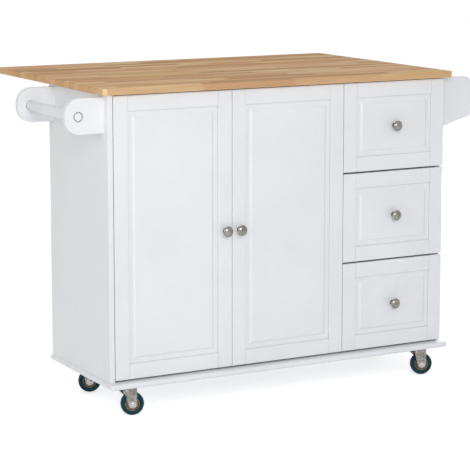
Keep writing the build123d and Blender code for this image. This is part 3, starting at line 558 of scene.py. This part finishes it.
for node, body in knobBodies.items():
    low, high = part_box(node)
    seat = ((low.x + high.x) / 2, low.y + knobShape["height"], (low.z + high.z) / 2)
    piece = copyTo(knob, node.replace("_knob", "Knob"), seat)
    smooth(piece, knobShape["smooth"])
    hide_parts(node)
    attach(piece, body)
bpy.data.objects.remove(knob)
print("knobs turned:", len(knobBodies))

# towel rail: its ends show in the brackets inside a ring groove, and it is necked where it enters them
railShape = {
    "segments": 64, "smooth": 40, "ease": 0.0012, "easeStep": 0.3, "endFlat": 0.3,
    "groove": 0.0034, "grooveDepth": 0.0080, "neck": 0.0022, "neckHalf": 0.0030,
}
low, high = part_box("towel_rail")
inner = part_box("towel_bracket_front")[1].y  # the face that the rail leaves
radius, ease = (high.x - low.x) / 2, railShape["ease"]
nearEase = ease * railShape["easeStep"]
plug, neck = radius - railShape["groove"], radius - railShape["neck"]
grooveEnd = low.y + railShape["grooveDepth"]
neckStart, neckEnd = inner - railShape["neckHalf"], inner + railShape["neckHalf"]
railHalf = (
    (plug * railShape["endFlat"], low.y), (plug - ease, low.y), (plug - nearEase, low.y + nearEase),
    (plug, low.y + ease), (plug, grooveEnd), (radius, grooveEnd), (radius, neckStart), (neck, neckStart),
    (neck, neckEnd), (radius - nearEase, neckEnd), (radius, neckEnd + ease),
)
rail = turned("towelRail", mirrored(railHalf, low.y + high.y), railShape["segments"])
rail.location = ((low.x + high.x) / 2, 0, (low.z + high.z) / 2)
paint(rail, whitePaint)
smooth(rail, railShape["smooth"])
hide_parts("towel_rail")
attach(rail, "cabinet")
print("towel rail made")

# where each caster swivels, and how it is turned at rest
jointOf = {joint["name"]: joint for joint in frame["joints"]}
swivelOf = {caster: (*jointOf[caster + "_swivel_turn"]["pos_m"][:2], 0) for caster in casters}
wheelAxis = jointOf["front_left_wheel_spin"]["axis"]
casterTurn = (0, 0, math.atan2(-wheelAxis[0], wheelAxis[1]))

# wheels: a tyre with rounded shoulders and a rim line, and a dished hub, half of each from its outer face
wheelShape = {
    "segments": 72, "smooth": 30,
    "tyre": (
        (0.0205, -0.0098), (0.0210, -0.0106), (0.0220, -0.0110), (0.0234, -0.0110), (0.0239, -0.0105),
        (0.0246, -0.0105), (0.0251, -0.0110), (0.0276, -0.0110), (0.0292, -0.0107), (0.0306, -0.0099),
        (0.0317, -0.0086), (0.0325, -0.0067), (0.0329, -0.0043), (0.0330, -0.0018),
    ),
    "hub": (
        (0.0041, -0.0137), (0.0084, -0.0137), (0.0090, -0.0131), (0.0093, -0.0080), (0.0102, -0.0058),
        (0.0122, -0.0048), (0.0152, -0.0048), (0.0166, -0.0056), (0.0174, -0.0082), (0.0180, -0.0093),
        (0.0188, -0.0095), (0.0199, -0.0095), (0.0204, -0.0090),
    ),
}
wheelParts = []
for kind, finish, slot in (("tyre", tread, "wheel_tread"), ("hub", hubAmber, "wheel_hub")):
    half = wheelShape[kind]
    master = turned(kind, mirrored(half) + half[:1], wheelShape["segments"], ring=True)
    paint(master, finish)
    wheelParts.append((master, kind, slot))
for caster in casters:
    low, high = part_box("caster_" + caster + "_tyre")
    for master, kind, slot in wheelParts:
        piece = copyTo(master, caster + "_" + kind, (low + high) / 2, casterTurn)
        smooth(piece, wheelShape["smooth"])
        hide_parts("caster_" + caster + "_" + kind)
        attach(piece, caster + "_wheel")
for master, kind, slot in wheelParts:
    bpy.data.objects.remove(master)
print("wheels made:", len(casters))

# forks: a pressed crown with two tapered legs, and an axle with a domed cap on a washer at each end
forkShape = {
    "trail": 0.027, "axleHeight": 0.033, "crown": (0.081, 0.084), "front": 0.016, "corner": 0.011,
    "cornerSegments": 8, "inside": 0.014, "metal": 0.0025, "boss": 0.0125, "bossSegments": 32,
    "overlap": 0.001, "easing": 0.0006, "sliver": 0.0001, "axle": 0.0040, "axleSegments": 40, "smooth": 32,
    "cap": (
        (0.0008, 0.0041), (0.0024, 0.0040), (0.0044, 0.0035), (0.0057, 0.0027), (0.0062, 0.0018),
        (0.0062, 0.0010), (0.0088, 0.0010), (0.0092, 0.0007), (0.0092, 0.0),
    ),
}
legFace = forkShape["inside"] + forkShape["metal"]  # outer face of a leg
legBack = forkShape["trail"] + forkShape["boss"]


def legPlate(shape, side):
    start = shape["inside"] if side > 0 else -legFace
    axle = (shape["trail"], start, shape["axleHeight"])
    bpy.ops.mesh.primitive_circle_add(
        vertices=shape["bossSegments"], radius=shape["boss"], fill_type="NGON", location=axle,
        rotation=(math.pi / 2, 0, 0))
    leg = bpy.context.object
    settle(leg)
    # the upper half of the disc is drawn up to the crown and spread towards the swivel
    pick(leg, "VERT", lambda vert: vert.co.z > shape["axleHeight"] + shape["sliver"])
    bpy.ops.transform.resize(value=(1, 1, 0), center_override=axle)
    lift = shape["crown"][0] + shape["overlap"] - shape["axleHeight"]
    bpy.ops.transform.translate(value=(0, 0, lift))
    widening = legBack / (2 * shape["boss"])  # brings its front edge to the swivel's axis
    bpy.ops.transform.resize(value=(widening, 1, 1), center_override=(legBack, start, shape["crown"][0]))
    bpy.ops.mesh.select_all(action="SELECT")
    extrude((0, shape["metal"], 0))
    faceOutwards()
    return leg


def forkCrown(shape):
    front, (bottom, top) = shape["front"], shape["crown"]
    size = (legBack + front, 2 * legFace, top - bottom)
    crown = block("fork", size, ((legBack - front) / 2, 0, (bottom + top) / 2))

    def frontUpright(edge):
        first, last = (crown.data.vertices[number].co for number in edge.vertices)
        return first.x < 0 and last.x < 0 and abs(first.y - last.y) < shape["sliver"]

    pick(crown, "EDGE", frontUpright)
    bpy.ops.mesh.bevel(offset=shape["corner"], segments=shape["cornerSegments"], affect="EDGES")
    bpy.ops.object.mode_set(mode="OBJECT")
    return crown


fork = forkCrown(forkShape)
for side in (-1, 1):
    cutOrUnite(fork, legPlate(forkShape, side), "UNION")
easeEdges(fork, forkShape["easing"])
settle(fork)
pickAll()
bpy.ops.mesh.remove_doubles(threshold=forkShape["sliver"])  # closes the hairline where legs and crown meet
bpy.ops.object.mode_set(mode="OBJECT")

axleHalf = tuple((radius, -legFace - out) for radius, out in forkShape["cap"])
axleHalf += ((forkShape["axle"], -legFace),)
axleSet = turned("axle", mirrored(axleHalf), forkShape["axleSegments"])
putAt(axleSet, (forkShape["trail"], 0, forkShape["axleHeight"]))
paint(fork, forkZinc)
paint(axleSet, capSteel)
joinPieces(fork, [axleSet])

# brake pivot: a rivet through both legs of the front forks, its head in shares of radius and height
pivotShape = {
    "place": (0.010, 0, 0.0725), "radius": 0.0015, "headRadius": 0.0030, "headHeight": 0.0012, "segments": 24,
    "head": ((0.35, 1.0), (0.75, 0.8), (1.0, 0.3), (1.0, 0.0)),
}
flat, dome = pivotShape["headRadius"], pivotShape["headHeight"]
pivotHalf = tuple((flat * width, -legFace - dome * out) for width, out in pivotShape["head"])
pivotHalf += ((pivotShape["radius"], -legFace), (pivotShape["radius"], 0))
pivot = turned("pivot", mirrored(pivotHalf), pivotShape["segments"])
putAt(pivot, pivotShape["place"])
paint(pivot, capSteel)

for caster in casters:
    piece = copyTo(fork, caster + "_fork", swivelOf[caster], casterTurn)
    if caster.startswith("front"):
        joinPieces(piece, [copyTo(pivot, "pivotCopy", swivelOf[caster], casterTurn)])
    smooth(piece, forkShape["smooth"])
    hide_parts("caster_" + caster + "_fork")
    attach(piece, caster + "_swivel")
bpy.data.objects.remove(fork)
bpy.data.objects.remove(pivot)
print("forks made:", len(casters))

# brake levers of the front casters: a foot plate with ribs on its upper face, a web and a barrel
leverShape = {
    "middle": (-0.00507, 0, 0.07004), "length": 0.0251, "width": 0.020, "thickness": 0.0035, "slope": 44.2,
    "ribs": 6, "ribStep": 0.00132, "ribHalf": 0.00895, "ribHeight": 0.0007, "ribEdge": 0.0003,
    "barrel": 0.0035, "bore": 0.00155, "barrelHalf": 0.0135, "barrelEase": 0.0004, "barrelSegments": 32,
    "webShort": 0.0012, "webEdge": 0.0004, "smooth": 32,
}
ribHeight, ribStep, ribHalf = leverShape["ribHeight"], leverShape["ribStep"], leverShape["ribHalf"]
outerEnd, ribbed = -leverShape["length"] / 2, 2 * leverShape["ribs"]  # strips with a rib on every second
plateSize = (leverShape["length"], leverShape["width"], leverShape["thickness"] - ribHeight)
lever = block("lever", plateSize, (0, 0, -ribHeight / 2))
cuts = [((outerEnd + number * ribStep, 0, 0), (1, 0, 0)) for number in range(1, ribbed + 1)]
cuts += [((0, side * ribHalf, 0), (0, 1, 0)) for side in (-1, 1)]
for place, across in cuts:
    pickAll()
    bpy.ops.mesh.bisect(plane_co=place, plane_no=across)


def isRib(face):
    strip = int((face.center.x - outerEnd) // ribStep)
    return looksTo(face, (0, 0, 1)) and strip % 2 == 1 and strip < ribbed and abs(face.center.y) < ribHalf


pick(lever, "FACE", isRib)
extrude((0, 0, ribHeight))
bpy.ops.object.mode_set(mode="OBJECT")
easeEdges(lever, leverShape["ribEdge"])
putAt(lever, leverShape["middle"], (0, math.radians(leverShape["slope"]), 0))

outer, reach, ease = leverShape["barrel"], leverShape["barrelHalf"], leverShape["barrelEase"]
barrelHalf = ((leverShape["bore"], -reach), (outer - ease, -reach), (outer, -reach + ease))
barrel = turned("barrel", mirrored(barrelHalf) + barrelHalf[:1], leverShape["barrelSegments"], ring=True)
putAt(barrel, pivotShape["place"])

toPivot = Vector(pivotShape["place"]) - Vector(leverShape["middle"])
webLength = toPivot.length - leverShape["bore"] - leverShape["webShort"]
webMiddle = Vector(leverShape["middle"]) + toPivot.normalized() * webLength / 2
webSize = (webLength, leverShape["width"], leverShape["thickness"])
web = block("web", webSize, webMiddle, (0, -math.atan2(toPivot.z, toPivot.x), 0))
easeEdges(web, leverShape["webEdge"])
joinPieces(lever, [barrel, web])
paint(lever, leverBlack)
for side in ("left", "right"):
    piece = copyTo(lever, "front_" + side + "_brake", swivelOf["front_" + side], casterTurn)
    smooth(piece, leverShape["smooth"])
    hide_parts("caster_front_" + side + "_brake")
    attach(piece, "front_" + side + "_pedal")
bpy.data.objects.remove(lever)
print("brake levers made")

# cross-head screws on the hinges and brackets, heads down their own -Z, in shares of radius and height
screwShape = {
    "radius": 0.0036, "height": 0.0020, "segments": 26, "smooth": 32,
    "head": ((1.0, 0.0), (1.0, 0.2), (0.86, 0.55), (0.60, 0.82), (0.28, 0.96), (0.08, 1.0)),
    "slot": 0.0009, "slotDepth": 0.0012, "slotLength": 0.0044,
}
headHeight, slotWidth = screwShape["height"], screwShape["slot"]
profile = tuple((screwShape["radius"] * width, -headHeight * out) for width, out in screwShape["head"])
screw = turned("screw", profile, screwShape["segments"])
putAt(screw, (0, 0, 0), (math.pi / 2, 0, 0))  # its axis from Y to Z
paint(screw, zinc)
cross = block("cross", (slotWidth, slotWidth, 2 * screwShape["slotDepth"]), (0, 0, -headHeight))
arm = (screwShape["slotLength"] - slotWidth) / 2
for way in ((1, 0, 0), (-1, 0, 0), (0, 1, 0), (0, -1, 0)):  # each arm grows from a side of the middle
    pick(cross, "FACE", lambda face: looksTo(face, way) and face.center.xy.length < slotWidth)
    extrude(tuple(arm * part for part in way))
faceOutwards()
cutOrUnite(screw, cross, "DIFFERENCE")


def screwRow(name, body, places, turn=(0, 0, 0)):
    copies = [copyTo(screw, name, place, turn) for place in places]
    row = copies[0]
    joinPieces(row, copies[1:])
    smooth(row, screwShape["smooth"])
    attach(row, body)


screwPlaces = {
    "sheet": 0.0015, "hinges": (-0.440, 0.0, 0.440), "sides": (-0.024, 0.024),
    "underTop": (0.054, 0.070), "underLeaf": (0.097, 0.111),
    "brackets": (-0.330, 0.330), "fromLow": 0.045, "fromHigh": 0.015,
}
for node, body, rows in (
    ("leaf_hinge_top_plates", "cabinet", screwPlaces["underTop"]),
    ("leaf_hinge_leaf_plates", "table_leaf", screwPlaces["underLeaf"]),
):
    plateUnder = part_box(node)[1].z - screwPlaces["sheet"]
    columns = [hinge + side for hinge in screwPlaces["hinges"] for side in screwPlaces["sides"]]
    screwRow(node + "_screws", body, [(x, y, plateUnder) for x in columns for y in rows])
low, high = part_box("bracket_wall_arms")
heights = (low.z + screwPlaces["fromLow"], high.z - screwPlaces["fromHigh"])
places = [(x, low.y + screwPlaces["sheet"], z) for x in screwPlaces["brackets"] for z in heights]
screwRow("bracket_wall_screws", "cabinet", places, (math.pi / 2, 0, 0))
bpy.data.objects.remove(screw)
print("screws set")

# studio: white floor, one broad key from the front left, a soft fill from the left and one from behind
studio = {
    "floorSize": 30.0, "floorTone": (0.92, 0.922, 0.93), "floorRoughness": 0.9, "floorLift": 0.56,
    "ambient": 0.50, "backdrop": 1.0, "aim": (0, 0, 0.5),
    "lamps": (
        {"name": "keyLamp", "place": (-1.6, -4.4, 2.2), "size": (2.4, 2.0), "watts": 87.0},
        {"name": "fillLamp", "place": (-3.8, -1.5, 1.8), "size": (2.0, 2.0), "watts": 25.0},
        {"name": "rearLamp", "place": (2.6, 3.6, 0.5), "size": (2.4, 0.8), "watts": 34.0},
    ),
}


def seenRays(tree):  # 1 for what the camera sees, straight or in metal and glass
    rays = addNode(tree, "ShaderNodeLightPath").outputs
    seen = calc(tree, "MAXIMUM", rays["Is Camera Ray"], rays["Is Glossy Ray"])
    return calc(tree, "MAXIMUM", seen, rays["Is Transmission Ray"])


bpy.ops.mesh.primitive_plane_add(size=studio["floorSize"], location=(0, 0, 0))
floor = bpy.context.object
floor.name = "floor"
floorFinish, tree, shader = newFinish("floorPale")
shader.inputs["Base Color"].default_value = (*studio["floorTone"], 1)
shader.inputs["Roughness"].default_value = studio["floorRoughness"]
shader.inputs["Specular IOR Level"].default_value = 0.0
shader.inputs["Emission Color"].default_value = (1, 1, 1, 1)
lifted = calc(tree, "MULTIPLY", seenRays(tree), studio["floorLift"])
tree.links.new(lifted, shader.inputs["Emission Strength"])
paint(floor, floorFinish)

world = bpy.data.worlds.new("studio")
scene.world = world
world.use_nodes = True
tree = world.node_tree
tree.nodes.clear()
choice = addNode(tree, "ShaderNodeMixShader")
tree.links.new(seenRays(tree), choice.inputs["Fac"])
for number, strength in ((1, studio["ambient"]), (2, studio["backdrop"])):
    sky = addNode(tree, "ShaderNodeBackground")
    sky.inputs["Color"].default_value = (1, 1, 1, 1)
    sky.inputs["Strength"].default_value = strength
    tree.links.new(sky.outputs["Background"], choice.inputs[number])
output = addNode(tree, "ShaderNodeOutputWorld")
tree.links.new(choice.outputs["Shader"], output.inputs["Surface"])

for lamp in studio["lamps"]:
    bpy.ops.object.light_add(type="AREA", location=lamp["place"])
    light = bpy.context.object
    light.name = lamp["name"]
    light.data.shape = "RECTANGLE"
    light.data.size, light.data.size_y = lamp["size"]
    light.data.energy = lamp["watts"]
    towards = Vector(studio["aim"]) - Vector(lamp["place"])
    light.rotation_euler = towards.to_track_quat("-Z", "Y").to_euler()

# camera at the photograph's angle
view = {
    "place": (-2.67468, -4.97955, 1.42271), "yaw": 0.49885, "pitch": 0.15086, "sensor": 36.0, "lens": 146.15,
    "shift": -0.1, "clipEnd": 60.0,
}
bpy.ops.object.camera_add(location=view["place"], rotation=(math.pi / 2 - view["pitch"], 0, -view["yaw"]))
camera = bpy.context.object
camera.data.sensor_width = view["sensor"]
camera.data.lens = view["lens"]
camera.data.shift_y = view["shift"]
camera.data.clip_end = view["clipEnd"]
scene.camera = camera
print("studio and camera set")
